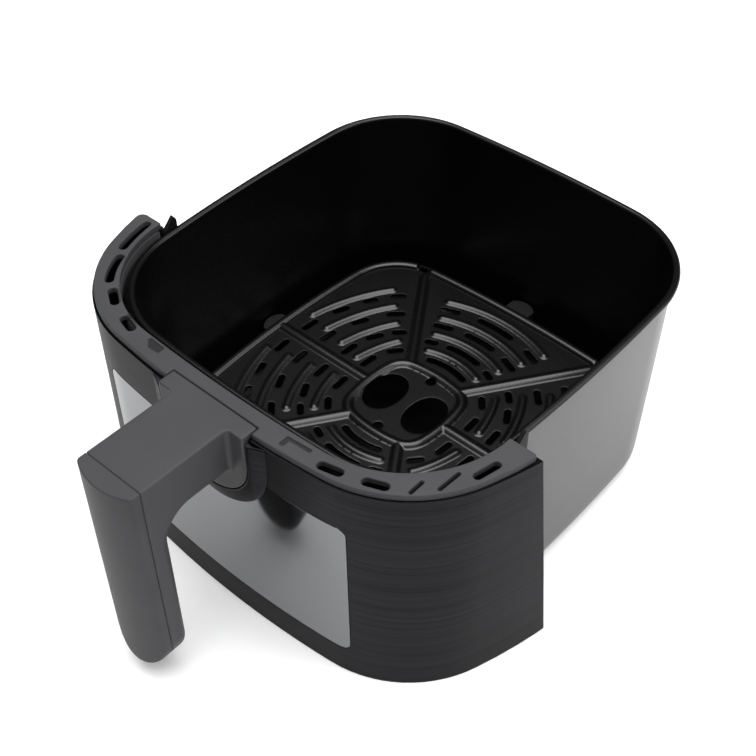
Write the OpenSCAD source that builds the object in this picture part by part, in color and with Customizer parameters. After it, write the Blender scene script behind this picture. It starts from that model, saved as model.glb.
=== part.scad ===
// Pull-out drawer of a countertop air fryer.
// Millimetres. +Z is up, the handle points to -Y, +X is to the right seen from the front.
// The origin is the middle of the pan's flat underside.

/* [Pan] */
// Width over the rolled rim
pan_w = 240; // [200:1:280]
// Depth over the rolled rim
pan_d = 248.4; // [200:0.2:300]
// Height of the rim above the underside
pan_h = 140; // [110:1:170]
// Wall thickness with its coating
pan_t = 1; // [0.8:0.1:2.5]
// How far the wall leans in from the rim to the floor
pan_lean = 3.8; // [0:0.1:8]
// Outside radius between wall and floor
pan_fillet = 12; // [6:1:20]
// Width of the rolled rim
rim_w = 4.2; // [3:0.1:7]

/* [Front] */
// Width of the front across the drawer
front_w = 291.6; // [260:0.2:330]
// Depth of the outline that the front follows
front_d = 305.6; // [260:0.2:340]
// How far that outline's centre lies behind the pan's centre
front_shift = 10.4; // [0:0.1:20]
// Where both ends of the front stop at the top, measured along Y
end_top = -63; // [-90:1:-30]
// Where both ends of the front stop at the table
end_low = -48.5; // [-90:0.5:-30]
// Height of the front's upper edge
front_top = 143; // [120:1:170]
// Gap between the front's lower edge and the table
front_low = 0.6; // [0:0.1:4]
// Thickness of the brushed skin
skin_t = 1; // [0.6:0.1:2]
// Thickness of the moulded frame behind it
frame_t = 2.4; // [1.6:0.1:4]
// Height of the bezel's upper face
bezel_top = 147; // [125:1:175]
// How far the bezel stands back from the skin
bezel_inset = 1.2; // [0:0.1:4]
// Width of the vents in the bezel
vent_w = 4.8; // [3:0.1:8]
// Thickness of the frame's inner wall and of the bezel's lip
lip_t = 1.6; // [1:0.1:3]

/* [Accent plate] */
// Half of its width
accent_half = 82; // [50:1:100]
// Height of its lower edge
accent_low = 20; // [5:1:60]
// Height of its upper edge
accent_top = 115.5; // [80:0.5:130]
// Radius of its corners
accent_r = 5; // [2:0.5:15]

/* [Handle] */
// Width of arm and grip
arm_w = 37.4; // [28:0.2:50]
// Height of the arm
arm_h = 29; // [20:0.5:40]
// Radius under the arm, where the grip turns down
bend_r = 15.5; // [8:0.5:25]
// Front of the grip
grip_front = -208; // [-240:1:-180]
// Back of the grip, next to the fingers
grip_back = -186.5; // [-200:0.5:-170]
// Where the cover meets the inner half
grip_seam = -197.5; // [-205:0.5:-185]
// Lowest point of the grip
grip_low = 13; // [2:0.5:60]
// Radius of the curved front of the grip
grip_bow = 35.6; // [20:0.2:80]
// Face of the root plate
root_face = -146; // [-150:0.5:-143]
// Half of the root plate's width
root_half = 28.8; // [24:0.2:36]
// Height of the centre of the root plate's round lower end
root_mid = 126.8; // [115:0.2:135]
// Half of the collar's width
collar_half = 38.5; // [32:0.5:46]

/* [Crisper plate] */
// Half of the plate's width
plate_half = 105; // [90:1:115]
// Height of the top of the plate's edge bead
plate_top = 41; // [25:0.5:60]
// Sheet thickness
plate_t = 1.6; // [1:0.1:3]
// Height of the beads and ribs
bead_h = 2.4; // [1:0.1:4]
// Width of the beads and ribs
bead_w = 5.6; // [3:0.1:8]
// Depth of the turned-down edge
skirt_h = 11; // [4:0.5:20]
// Width of the slots
slot_w = 4.3; // [3:0.1:6]
// Width of each finger hole
finger_w = 22; // [16:0.5:28]
// Length of each finger hole
finger_l = 31.5; // [20:0.5:40]
// Width of the silicone bumpers
bumper_w = 17; // [8:0.5:30]
// How far the side bumpers stand out
side_reach = 7.2; // [4:0.1:9]
// How far the front and rear bumpers stand out
end_reach = 11.4; // [6:0.1:13]

/* [Hidden] */

// half width, half depth, bow radius at the sides, bow radius at the front, corner radius
RIM = [pan_w / 2, pan_d / 2, 1090, 1030, 60];
FRONT = [front_w / 2, front_d / 2, 309, 597, 70.5];
INNER = [pan_w / 2 + 0.9, pan_d / 2 + 3.9, 1090, 1030, 62];
PLATE = [plate_half, plate_half, 630, 890, 40];

// radii of the arched ribs at the front and rear, and at the sides
ARC_R = [46.3, 61.3, 76.7, 92.3];
SIDE_ARC_R = [49.5, 65.5, 81.5, 97];
// slots at the front and rear: [radius, length]
END_SLOTS = [[38.8, 27], [54, 25], [69.3, 22], [84.5, 27]];
// shorter slots beside them: [radius, angle from the middle, length]
END_SIDE_SLOTS = [[54.4, 23.7, 8.6], [69.5, 21.2, 13], [84.6, 21.5, 13]];
// slots at the sides: [radius, angle from the middle, length]
SIDE_SLOTS = [
    [41.8, 17, 12], [56.8, 12.5, 12], [73.2, 9.8, 12], [89.2, 8, 12],
    [43.9, 40.5, 9.5], [58, 31, 11.5], [73.8, 27.5, 11.5], [89.3, 22.8, 11.5],
    [58, 45.8, 9.5], [73.8, 44.8, 12], [89.3, 36, 11], [89.3, 46, 9]
];

frame_out = skin_t;
frame_floor = front_low + 2.4;
sheet_top = plate_top - bead_h;
lip_low = 136.5;
mark_deep = 0.5;
mouth = [0, front_shift, 0];
face_y = front_shift - front_d / 2;
arm_low = bezel_top - arm_h;
screw_x = 16;
root_back = -135.9;
bezel_screw_at = [[-81, -129.2], [-50, -133], [50, -133], [126.3, -72]];
lug_x = 34;
lug_hole = 6;
lug_y = -123.9;
pan_screw_y = -129.8;
lug_holes = [-lug_x - lug_hole, -lug_x + lug_hole, lug_x - lug_hole, lug_x + lug_hole];

// ---- outlines ----

// Centre of the corner arc: where the two bow circles, shrunk by the corner radius, cross.
function corner_at(s) =
    let (p = s[0] - s[2])
    let (q = s[1] - s[3])
    let (d = sqrt(p * p + q * q))
    let (r1 = s[2] - s[4])
    let (r2 = s[3] - s[4])
    let (m = (r1 * r1 - r2 * r2 + d * d) / (2 * d))
    let (h = sqrt(r1 * r1 - m * m))
    [p - m * p / d - h * q / d, m * q / d - h * p / d];

function arc(cx, cy, r, a0, a1, n) =
    [for (i = [0:n - 1]) let (a = a0 + (a1 - a0) * i / n) [cx + r * cos(a), cy + r * sin(a)]];

// One quarter of the bowed outline, from the side to the front or back, inset by e.
function quarter(s, e, k) =
    let (c = corner_at(s))
    let (t1 = atan2(c[1], c[0] - s[0] + s[2]))
    let (t2 = atan2(c[1] - s[1] + s[3], c[0]))
    concat(
        arc(s[0] - s[2], 0, s[2] - e, 0, t1, 4 * k),
        arc(c[0], c[1], s[4] - e, t1, t2, 7 * k),
        arc(0, s[1] - s[3], s[3] - e, t2, 90, 4 * k),
        [[0, s[1] - e]]
    );

function turned(pts) = [for (i = [len(pts) - 1:-1:0]) pts[i]];

function half_ring(s, e, k) =
    let (q = quarter(s, e, k))
    concat(q, [for (p = turned(q)) if (p[0] > 0.001) [-p[0], p[1]]]);

function bowed(s, e = 0, k = 2) =
    let (h = half_ring(s, e, k))
    concat(h, [for (p = turned(h)) if (p[1] > 0.001) [p[0], -p[1]]]);

module bowed_block(s, e, z0, z1, at = [0, 0, 0]) {
    translate([at[0], at[1], z0])
        linear_extrude(z1 - z0)
            polygon(bowed(s, e));
}

// The part of a piece that lies in front of the line y.
module before(y) {
    intersection() {
        children();
        translate([-200, y - 300, -50])
            cube([400, 300, 300]);
    }
}

module pill(l, w, h) {
    linear_extrude(h) {
        square([l - w, w], center = true);
        translate([(l - w) / 2, 0])
            circle(d = w, $fn = 32);
        translate([-(l - w) / 2, 0])
            circle(d = w, $fn = 32);
    }
}

// Where the slanted end of the front lies at height z.
function end_at(z) = end_low + (end_top - end_low) * z / front_top;

// The part of a piece that lies in front of the slanted end line, moved forward by g.
module before_end(g) {
    intersection() {
        children();
        translate([-200, -g, 0])
            rotate([90, 0, 90])
                linear_extrude(400)
                    polygon([[-300, -20], [end_at(-20), -20], [end_at(180), 180], [-300, 180]]);
    }
}

// A vent from tip a to tip b.
module vent(a, b, w, z0, z1) {
    translate([(a[0] + b[0]) / 2, (a[1] + b[1]) / 2, z0])
        rotate([0, 0, atan2(b[1] - a[1], b[0] - a[0])])
            pill(norm(b - a), w, z1 - z0);
}

// A rounded screw head on a plain shank, pointing down from the origin.
module screw(l, r, head_r, head_h) {
    translate([0, 0, -l])
        cylinder(h = l + 0.5, r = r, $fn = 32);
    difference() {
        cylinder(h = head_h, r = head_r, $fn = 32);
        for (a = [0, 90])
            rotate([0, 0, a])
                translate([-head_r * 0.6, -0.4, head_h * 0.45])
                    cube([head_r * 1.2, 0.8, head_h]);
    }
}

// ---- pan ----

// [inset from the rim's outline, height], up the outside, over the rim and down the inside.
function pan_profile() =
    let (t = pan_t)
    let (wo = rim_w - t)
    let (lo = wo + pan_lean)
    let (f = pan_fillet)
    let (g = pan_fillet - t)
    concat(
        [for (i = [0:6]) let (a = 90 * i / 6) [lo + f - f * sin(a), f - f * cos(a)]],
        [[lo - pan_lean * 0.5, pan_h / 2], [wo + 0.05, pan_h - 6]],
        [[0.9, pan_h - 5.2], [0.15, pan_h - 4.2], [0, pan_h - 2.4], [0.35, pan_h - 1]],
        [[1.2, pan_h - 0.2], [2.1, pan_h], [3.1, pan_h - 0.3], [3.9, pan_h - 1.1]],
        [[rim_w + 0.05, pan_h - 3]],
        [[lo + t - pan_lean * 0.5, pan_h / 2]],
        [for (i = [6:-1:0]) let (a = 90 * i / 6) [lo + t + g - g * sin(a), t + g - g * cos(a)]]
    );

module pan() {
    color([0.2, 0.2, 0.21]) {
        prof = pan_profile();
        ring = len(bowed(RIM, 0, 2));
        rows = len(prof);
        pts = [for (p = prof) for (q = bowed(RIM, p[0], 2)) [q[0], q[1], p[1]]];
        sides = [for (j = [0:rows - 2]) for (i = [0:ring - 1])
            [j * ring + i, (j + 1) * ring + i, (j + 1) * ring + (i + 1) % ring, j * ring + (i + 1) % ring]];
        base = [[for (i = [0:ring - 1]) i]];
        floor_in = [[for (i = [ring - 1:-1:0]) (rows - 1) * ring + i]];
        polyhedron(points = pts, faces = concat(sides, base, floor_in), convexity = 6);
    }
}

// ---- crisper plate and its bumpers ----

// Cross-section of a pressed rib, standing on the sheet.
module rib_section() {
    r = (bead_h * bead_h + bead_w * bead_w / 4) / (2 * bead_h);
    intersection() {
        translate([0, bead_h - r])
            circle(r = r, $fn = 48);
        translate([-bead_w, -plate_t / 2])
            square([bead_w * 2, bead_h * 2]);
    }
}

module straight_rib(a, r0, r1) {
    rotate([0, 0, a])
        translate([r0, 0, sheet_top])
            rotate([90, 0, 90])
                linear_extrude(r1 - r0)
                    rib_section();
}

module arc_rib(r, a0, a1) {
    translate([0, 0, sheet_top])
        rotate([0, 0, a0])
            rotate_extrude(angle = a1 - a0, $fn = 96)
                translate([r, 0])
                    rib_section();
}

module slot_at(r, a, l) {
    rotate([0, 0, a])
        translate([r, 0, sheet_top - plate_t - 1])
            rotate([0, 0, 90])
                pill(l, slot_w, plate_t + bead_h + 2);
}

module hub_hole(x, y, w, l) {
    translate([x, y, sheet_top - plate_t - 1])
        rotate([0, 0, 90])
            pill(l, w, plate_t + bead_h + 2);
}

module crisper_plate() {
    color([0.09, 0.09, 0.1]) {
        difference() {
            union() {
                bowed_block(PLATE, 1, sheet_top - plate_t, sheet_top);
                difference() {
                    bowed_block(PLATE, 0, plate_top - skirt_h, plate_top);
                    bowed_block(PLATE, plate_t, plate_top - skirt_h - 1, sheet_top - plate_t);
                    bowed_block(PLATE, bead_w * 0.8, sheet_top - plate_t - 1, plate_top + 1);
                }
                for (a = [0, 180])
                    straight_rib(a, 29, plate_half - 3);
                for (a = [55.5, 124.5, 235.5, 304.5])
                    straight_rib(a, 33, plate_half + 5);
                for (m = [0, 180])
                    for (r = ARC_R)
                        arc_rib(r, m + 66.5, m + 113.5);
                for (r = SIDE_ARC_R)
                    for (a = [12, 135, 192, 315])
                        arc_rib(r, a, a + 33);
                difference() {
                    bowed_block([31, 31, 90, 90, 15], 0, sheet_top - plate_t / 2, plate_top);
                    bowed_block([31, 31, 90, 90, 15], bead_w * 0.7, sheet_top - 2, plate_top + 1);
                }
            }
            for (x = [-15, 15])
                hub_hole(x, 0, finger_w, finger_l);
            for (y = [-23.4, 23.4])
                translate([0, y, sheet_top - plate_t - 1])
                    cylinder(h = plate_t + 2, r = 3.2, $fn = 32);
            for (m = [0, 180]) {
                for (s = END_SLOTS)
                    slot_at(s[0], m + 90, s[1]);
                for (s = END_SIDE_SLOTS)
                    for (k = [-1, 1])
                        slot_at(s[0], m + 90 + k * s[1], s[2]);
                for (s = SIDE_SLOTS)
                    for (k = [-1, 1])
                        slot_at(s[0], m + k * s[1], s[2]);
            }
        }
    }
}

// Half-round bumper that grips the plate's edge and leans on the pan's wall.
module bumper(reach, side_w) {
    color([0.05, 0.05, 0.05]) {
        difference() {
            intersection() {
                translate([0, -side_w / 2, plate_top - skirt_h - 1])
                    cube([reach + 3, side_w, skirt_h - 1.5]);
                translate([reach - side_w * 0.62, 0, plate_top - skirt_h - 2])
                    cylinder(h = skirt_h + 2, r = side_w * 0.62, $fn = 48);
            }
            translate([-20, -30, plate_top - skirt_h - 3])
                cube([20.05, 60, skirt_h + 6]);
        }
    }
}

module bumper_right() {
    translate([plate_half, 0, 0])
        bumper(side_reach, bumper_w);
}

module bumper_left() {
    rotate([0, 0, 180])
        translate([plate_half, 0, 0])
            bumper(side_reach, bumper_w);
}

module bumper_rear() {
    rotate([0, 0, 90])
        translate([plate_half, 0, 0])
            bumper(end_reach, bumper_w);
}

module bumper_front() {
    rotate([0, 0, 270])
        translate([plate_half, 0, 0])
            bumper(end_reach, bumper_w);
}

// ---- front ----

// Room in the bezel for the flat top of the handle's root, grown by g all round.
module root_tongue(g) {
    translate([-root_half - g, root_face - 10, front_top - 0.2])
        cube([2 * (root_half + g), root_back - root_face + 10 + g, 20]);
}

module top_bezel() {
    color([0.3, 0.3, 0.31]) {
        difference() {
            before(end_top - 1.5) {
                difference() {
                    union() {
                        bowed_block(FRONT, bezel_inset, front_top, bezel_top, mouth);
                        bowed_block(INNER, -lip_t, lip_low, front_top + 1);
                    }
                    bowed_block(INNER, 0, lip_low - 1, bezel_top + 1);
                }
            }
            root_tongue(0.4);
            vent([-124.7, -67.9], [-118.2, -93.3], vent_w, 140, 150);
            vent([-114.9, -95.9], [-102.3, -115.1], vent_w, 140, 150);
            vent([-97.5, -116.5], [-86, -123.7], vent_w, 140, 150);
            vent([-76.8, -127], [-64.6, -130.3], vent_w, 140, 150);
            vent([64, -133.5], [77.1, -130.3], vent_w, 140, 150);
            vent([85.4, -127.7], [97.7, -122.7], vent_w, 140, 150);
            vent([106.1, -110], [106.1, -119.4], 2, 140, 150);
            vent([115.1, -95.5], [114.4, -109.6], 2, 140, 150);
            vent([124.9, -79.3], [121.7, -94], vent_w - 0.6, 140, 150);
            translate([0, 0, bezel_top - mark_deep])
                linear_extrude(2) {
                    polygon([[-55.5, -128.2], [-43.3, -128.9], [-43.3, -132.9], [-50, -133.2]]);
                    polygon([
                        [42.5, -130.5], [57, -129.2], [57, -131], [45, -131.8], [45, -136.2], [42.5, -136.2]
                    ]);
                }
            for (p = bezel_screw_at)
                translate([p[0], p[1], front_top - 1])
                    cylinder(h = 3.2, r = 1.5, $fn = 32);
        }
    }
}

// Upright hollow post for a screw from below.
module post(p) {
    translate([p[0], p[1], front_low])
        cylinder(h = front_top - front_low, r = 4.4, $fn = 48);
}

module drawer_frame() {
    color([0.13, 0.13, 0.14]) {
        difference() {
            union() {
                difference() {
                    before_end(0) {
                        difference() {
                            bowed_block(FRONT, frame_out, front_low, front_top, mouth);
                            bowed_block(INNER, -0.2, front_low - 1, front_top + 1);
                        }
                    }
                    before_end(frame_t) {
                        difference() {
                            bowed_block(FRONT, frame_out + frame_t, frame_floor, front_top + 1, mouth);
                            bowed_block(INNER, -0.2 - lip_t, frame_floor - 1, front_top + 2);
                        }
                    }
                }
                for (p = bezel_screw_at)
                    difference() {
                        post(p);
                        bowed_block(INNER, -0.3, 0, 150);
                    }
            }
            before(end_top) {
                bowed_block(INNER, -0.3 - lip_t, lip_low - 0.2, front_top + 1);
            }
            for (p = bezel_screw_at) {
                translate([p[0], p[1], front_low - 1])
                    cylinder(h = front_top - 12, r = 3, $fn = 48);
                translate([p[0], p[1], front_low])
                    cylinder(h = front_top, r = 1.7, $fn = 32);
            }
            for (x = [-screw_x, screw_x])
                translate([x, -132, root_mid])
                    rotate([90, 0, 0])
                        cylinder(h = 40, r = 2.3, $fn = 32);
            for (x = lug_holes)
                translate([x, -100, 60])
                    rotate([90, 0, 0])
                        cylinder(h = 34, r = 2.3, $fn = 32);
        }
    }
}

// Rounded window in the front, seen from the front, grown by g all round.
module window(g) {
    r = accent_r + g;
    x = accent_half + g - r;
    h = accent_top - accent_low + 2 * (g - r);
    translate([0, -100, 0])
        rotate([90, 0, 0])
            linear_extrude(70) {
                translate([-x - r, accent_low - g + r])
                    square([2 * (x + r), h]);
                translate([-x, accent_low - g])
                    square([2 * x, h + 2 * r]);
                for (a = [-x, x])
                    for (b = [accent_low - g + r, accent_top + g - r])
                        translate([a, b])
                            circle(r = r, $fn = 48);
            }
}

module front_skin() {
    color([0.2, 0.2, 0.21]) {
        difference() {
            before_end(0) {
                difference() {
                    bowed_block(FRONT, 0, front_low, front_top, mouth);
                    bowed_block(FRONT, skin_t, front_low - 1, front_top + 1, mouth);
                }
            }
            window(0.4);
            for (x = [-screw_x, screw_x])
                translate([x, -100, root_mid])
                    rotate([90, 0, 0])
                        cylinder(h = 60, r = 2.3, $fn = 32);
        }
    }
}

// U shape seen from the front: straight sides, round lower end, flat top.
module tongue_shape(half, top) {
    intersection() {
        union() {
            translate([0, root_mid])
                circle(r = half, $fn = 96);
            translate([-half, root_mid])
                square([2 * half, 60]);
        }
        translate([-half - 1, root_mid - half - 1])
            square([2 * half + 2, top - root_mid + half + 1]);
    }
}

module accent_plate() {
    color([0.62, 0.63, 0.64]) {
        difference() {
            intersection() {
                difference() {
                    bowed_block(FRONT, 0, accent_low - 2, accent_top + 2, mouth);
                    bowed_block(FRONT, skin_t, accent_low - 3, accent_top + 3, mouth);
                }
                window(0);
            }
            translate([0, -100, 0])
                rotate([90, 0, 0])
                    linear_extrude(70)
                        tongue_shape(root_half - 3, 150);
        }
    }
}

// Height of the front's skin along -Y at the distance x from the middle.
function skin_at(x) = face_y + FRONT[3] - sqrt(FRONT[3] * FRONT[3] - x * x);

// A station of the collar: [x, z] on its inner edge and the direction outward.
function collar_stations() =
    concat(
        [for (i = [0:3]) [root_half + 0.3, front_top - (front_top - root_mid) * i / 4, 1, 0]],
        [for (i = [0:24]) let (a = -180 * i / 24)
            [(root_half + 0.3) * cos(a), root_mid + (root_half + 0.3) * sin(a), cos(a), sin(a)]],
        [for (i = [3:-1:0]) [-root_half - 0.3, front_top - (front_top - root_mid) * i / 4, -1, 0]]
    );

// [distance out from the inner edge, how far it stands proud of the skin]
collar_slope = [[0, 3.4], [0.8, 3.4], [4, 2.7], [7, 1.7], [collar_half - root_half - 0.9, 1.1]];

module handle_collar() {
    color([0.2, 0.2, 0.21]) {
        st = collar_stations();
        n = len(st);
        wide = collar_slope[4][0];
        front = [for (s = st) for (c = collar_slope)
            [s[0] + c[0] * s[2], skin_at(s[0] + c[0] * s[2]) - c[1], s[1] + c[0] * s[3]]];
        back = [for (s = st) for (c = [wide, 0])
            [s[0] + c * s[2], skin_at(s[0] + c * s[2]) - 0.06, s[1] + c * s[3]]];
        // each station is a ring of seven points: five in front, two behind
        pts = [for (i = [0:n - 1]) for (j = [0:6]) j < 5 ? front[i * 5 + j] : back[i * 2 + j - 5]];
        sides = [for (i = [0:n - 2]) for (j = [0:6])
            [i * 7 + j, i * 7 + (j + 1) % 7, (i + 1) * 7 + (j + 1) % 7, (i + 1) * 7 + j]];
        first = [[for (j = [6:-1:0]) j]];
        last = [[for (j = [0:6]) (n - 1) * 7 + j]];
        polyhedron(points = pts, faces = concat(sides, first, last), convexity = 4);
    }
}

// ---- handle ----

// Side view of arm and grip as [y, z] points.
function handle_side() =
    let (low = grip_low)
    concat(
        [[face_y - 0.6, bezel_top], [grip_front, bezel_top]],
        [for (i = [0:4]) let (a = 90 * i / 4)
            [grip_front + 2 - 2 * cos(a), low + 2 - 2 * sin(a)]],
        [for (i = [0:8]) let (a = 90 * i / 8)
            [grip_back - 6.5 + 6.5 * sin(a), low + 8 - 8 * cos(a)]],
        [for (i = [0:10]) let (a = 90 * i / 10)
            [grip_back + bend_r - bend_r * cos(a), arm_low - bend_r + bend_r * sin(a)]],
        [[face_y - 0.6, arm_low]]
    );

module handle_solid() {
    intersection() {
        translate([-arm_w / 2, 0, 0])
            rotate([90, 0, 90])
                linear_extrude(arm_w)
                    polygon(handle_side());
        union() {
            translate([0, grip_front + grip_bow, 0])
                cylinder(h = 160, r = grip_bow, $fn = 96);
            translate([-30, grip_front + grip_bow - 25, 0])
                cube([60, 90, 160]);
        }
        translate([0, -120, 0])
            rotate([90, 0, 0])
                linear_extrude(100) {
                    translate([0, grip_low + arm_w / 2])
                        circle(d = arm_w, $fn = 96);
                    translate([-arm_w / 2, grip_low + arm_w / 2])
                        square([arm_w, 150]);
                }
    }
}

module handle_body() {
    color([0.17, 0.17, 0.18]) {
        difference() {
            union() {
                difference() {
                    handle_solid();
                    translate([-40, grip_seam - 60, 0])
                        cube([80, 60, 160]);
                }
                difference() {
                    translate([0, -130, 0])
                        rotate([90, 0, 0])
                            linear_extrude(-root_face - 130)
                                tongue_shape(root_half - 0.3, front_top);
                    bowed_block(FRONT, 0, 0, 160, mouth);
                }
                difference() {
                    translate([-root_half, root_face, front_top])
                        cube([2 * root_half, -root_face - 136.2, bezel_top - front_top]);
                    translate([-40, -141, front_top - 1])
                        cube([80, 12, 1.5]);
                }
            }
            for (x = [-screw_x, screw_x])
                translate([x, -130, root_mid])
                    rotate([90, 0, 0])
                        cylinder(h = 32, r = 1.8, $fn = 32);
        }
    }
}

module grip_cover() {
    color([0.26, 0.26, 0.27]) {
        intersection() {
            handle_solid();
            translate([-40, grip_seam - 60, 0])
                cube([80, 60, 160]);
        }
    }
}

module handle_bracket() {
    color([0.6, 0.6, 0.62]) {
        difference() {
            translate([-26, face_y + frame_out + frame_t + 0.7, root_mid - 22])
                cube([52, 2, 36]);
            for (x = [-screw_x, screw_x])
                translate([x, -100, root_mid])
                    rotate([90, 0, 0])
                        cylinder(h = 60, r = 2.2, $fn = 32);
        }
    }
}

module handle_screws() {
    color([0.7, 0.7, 0.72]) {
        for (x = [-screw_x, screw_x])
            translate([x, face_y + frame_out + frame_t + 2.7, root_mid])
                rotate([-90, 0, 0])
                    screw(22, 1.75, 3.8, 2.2);
    }
}

module bezel_screws() {
    color([0.7, 0.7, 0.72]) {
        for (p = bezel_screw_at)
            translate([p[0], p[1], front_low + front_top - 13])
                rotate([180, 0, 0])
                    screw(13, 1.45, 2.8, 2);
    }
}

// ---- between pan and frame ----

// Lug with two webs that stand on the pan's wall.
module pan_bracket(x) {
    color([0.6, 0.6, 0.62]) {
        difference() {
            union() {
                translate([x - 15, lug_y - 1.8, 52])
                    cube([30, 1.8, 16]);
                for (s = [-15, 13.4])
                    translate([x + s, lug_y - 1, 52])
                        cube([1.6, 14, 16]);
            }
            bowed_block(RIM, 4.75, 40, 80);
            for (s = [-lug_hole, lug_hole])
                translate([x + s, -100, 60])
                    rotate([90, 0, 0])
                        cylinder(h = 34, r = 1.9, $fn = 32);
        }
    }
}

module pan_bracket_left() {
    pan_bracket(-lug_x);
}

module pan_bracket_right() {
    pan_bracket(lug_x);
}

module pan_screws() {
    color([0.7, 0.7, 0.72]) {
        for (x = lug_holes)
            translate([x, pan_screw_y, 60])
                rotate([90, 0, 0])
                    screw(8, 1.85, 3.6, 2);
    }
}

// Upright tab with a slanted top at one end of the frame.
module catch_tab(side) {
    color([0.1, 0.1, 0.11]) {
        translate([side * 120.3 - 1.2, 0, 0])
            rotate([90, 0, 90])
                linear_extrude(2.4)
                    polygon([
                        [end_at(98), 98], [-53.5, 103], [-53.5, 143], [-55.5, 146], [end_at(139), 139]
                    ]);
    }
}

module catch_left() {
    catch_tab(-1);
}

module catch_right() {
    catch_tab(1);
}

pan();
crisper_plate();
bumper_front();
bumper_rear();
bumper_left();
bumper_right();
top_bezel();
drawer_frame();
front_skin();
accent_plate();
handle_collar();
handle_body();
grip_cover();
handle_bracket();
handle_screws();
bezel_screws();
pan_bracket_left();
pan_bracket_right();
pan_screws();
catch_left();
catch_right();
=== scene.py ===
"""Air fryer drawer: pan, crisper plate, wrapped front and drop handle, on their CAD frame."""

import math

import bmesh
import bpy
import numpy as np
from bpy.props import FloatProperty, FloatVectorProperty, PointerProperty
from mathutils import Matrix, Vector


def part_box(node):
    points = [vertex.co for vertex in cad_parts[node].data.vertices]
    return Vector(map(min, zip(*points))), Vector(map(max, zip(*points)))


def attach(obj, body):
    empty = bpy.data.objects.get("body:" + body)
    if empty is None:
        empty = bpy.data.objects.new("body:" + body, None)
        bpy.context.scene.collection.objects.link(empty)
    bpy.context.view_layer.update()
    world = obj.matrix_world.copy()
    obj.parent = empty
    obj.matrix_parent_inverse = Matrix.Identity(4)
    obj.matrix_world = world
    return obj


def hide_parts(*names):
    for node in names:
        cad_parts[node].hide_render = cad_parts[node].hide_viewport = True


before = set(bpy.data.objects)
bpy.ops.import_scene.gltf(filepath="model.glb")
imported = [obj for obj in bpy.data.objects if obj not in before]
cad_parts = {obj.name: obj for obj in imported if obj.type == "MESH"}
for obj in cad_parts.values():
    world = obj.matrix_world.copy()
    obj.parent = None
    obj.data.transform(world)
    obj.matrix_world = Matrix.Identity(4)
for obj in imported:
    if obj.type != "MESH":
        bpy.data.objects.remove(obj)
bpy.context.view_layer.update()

bl_info = {
    "name": "Air Fryer Drawer",
    "version": (1, 0, 0),
    "blender": (4, 5, 0),
    "location": "View3D > Sidebar > Fryer Drawer",
    "description": "Builds the pan, crisper plate, front and handle of an air fryer drawer",
    "category": "Add Mesh",
}

MM = 0.001
PAN_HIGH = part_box("pan")[1]
PLATE_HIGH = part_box("crisper_plate")[1]


# ---- colour and nodes ----


def linear(code):
    """An sRGB hex colour as linear red, green and blue."""
    parts = [int(code[i : i + 2], 16) / 255 for i in (1, 3, 5)]
    return [c / 12.92 if c <= 0.04045 else ((c + 0.055) / 1.055) ** 2.4 for c in parts]


def rgba(colour):
    return (*colour[:3], 1.0)


def add(tree, kind, inputs, **settings):
    """Adds a node with its settings. An input that is a socket is linked, any other is set."""
    made = tree.nodes.new(kind)
    for name, value in settings.items():
        setattr(made, name, value)
    for name, value in inputs.items():
        if isinstance(value, bpy.types.NodeSocket):
            tree.links.new(value, made.inputs[name])
        else:
            made.inputs[name].default_value = value
    return made


def start_material(name):
    """A new material with only its output, and the tree that it is built in."""
    made = bpy.data.materials.new(name)
    made.use_nodes = True
    tree = made.node_tree
    tree.nodes.clear()
    output = tree.nodes.new("ShaderNodeOutputMaterial")
    return made, tree, output


def moulded_abs(name, colour, roughness, grain=0.45, depth=0.012):
    """Moulded ABS with spark-eroded grain: even grey, soft highlights, faint flow marks.

    grain is the spacing of the texture in millimetres, depth its height."""
    made, tree, output = start_material(name)
    where = add(tree, "ShaderNodeTexCoord", {}).outputs["Object"]
    flow = add(tree, "ShaderNodeTexNoise", {"Vector": where, "Scale": 28.0, "Detail": 3.0})
    pits = add(
        tree,
        "ShaderNodeTexNoise",
        {"Vector": where, "Scale": 1 / (grain * MM), "Detail": 2.0},
    )
    tone = add(tree, "ShaderNodeValToRGB", {"Fac": flow.outputs["Fac"]})
    tone.color_ramp.elements[0].position = 0.3
    tone.color_ramp.elements[0].color = rgba([c * 0.93 for c in colour])
    tone.color_ramp.elements[1].position = 0.7
    tone.color_ramp.elements[1].color = rgba([c * 1.06 for c in colour])
    rough = add(
        tree,
        "ShaderNodeMapRange",
        {
            "Value": pits.outputs["Fac"],
            "From Min": 0.3,
            "From Max": 0.7,
            "To Min": roughness - 0.04,
            "To Max": roughness + 0.05,
        },
    )
    bump = add(
        tree,
        "ShaderNodeBump",
        {"Height": pits.outputs["Fac"], "Distance": depth * MM, "Strength": 0.6},
    )
    skin = add(
        tree,
        "ShaderNodeBsdfPrincipled",
        {
            "Base Color": tone.outputs["Color"],
            "Roughness": rough.outputs["Result"],
            "Normal": bump.outputs["Normal"],
            "IOR": 1.53,
            "Specular IOR Level": 0.1,
        },
    )
    tree.links.new(skin.outputs["BSDF"], output.inputs["Surface"])
    return made


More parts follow.
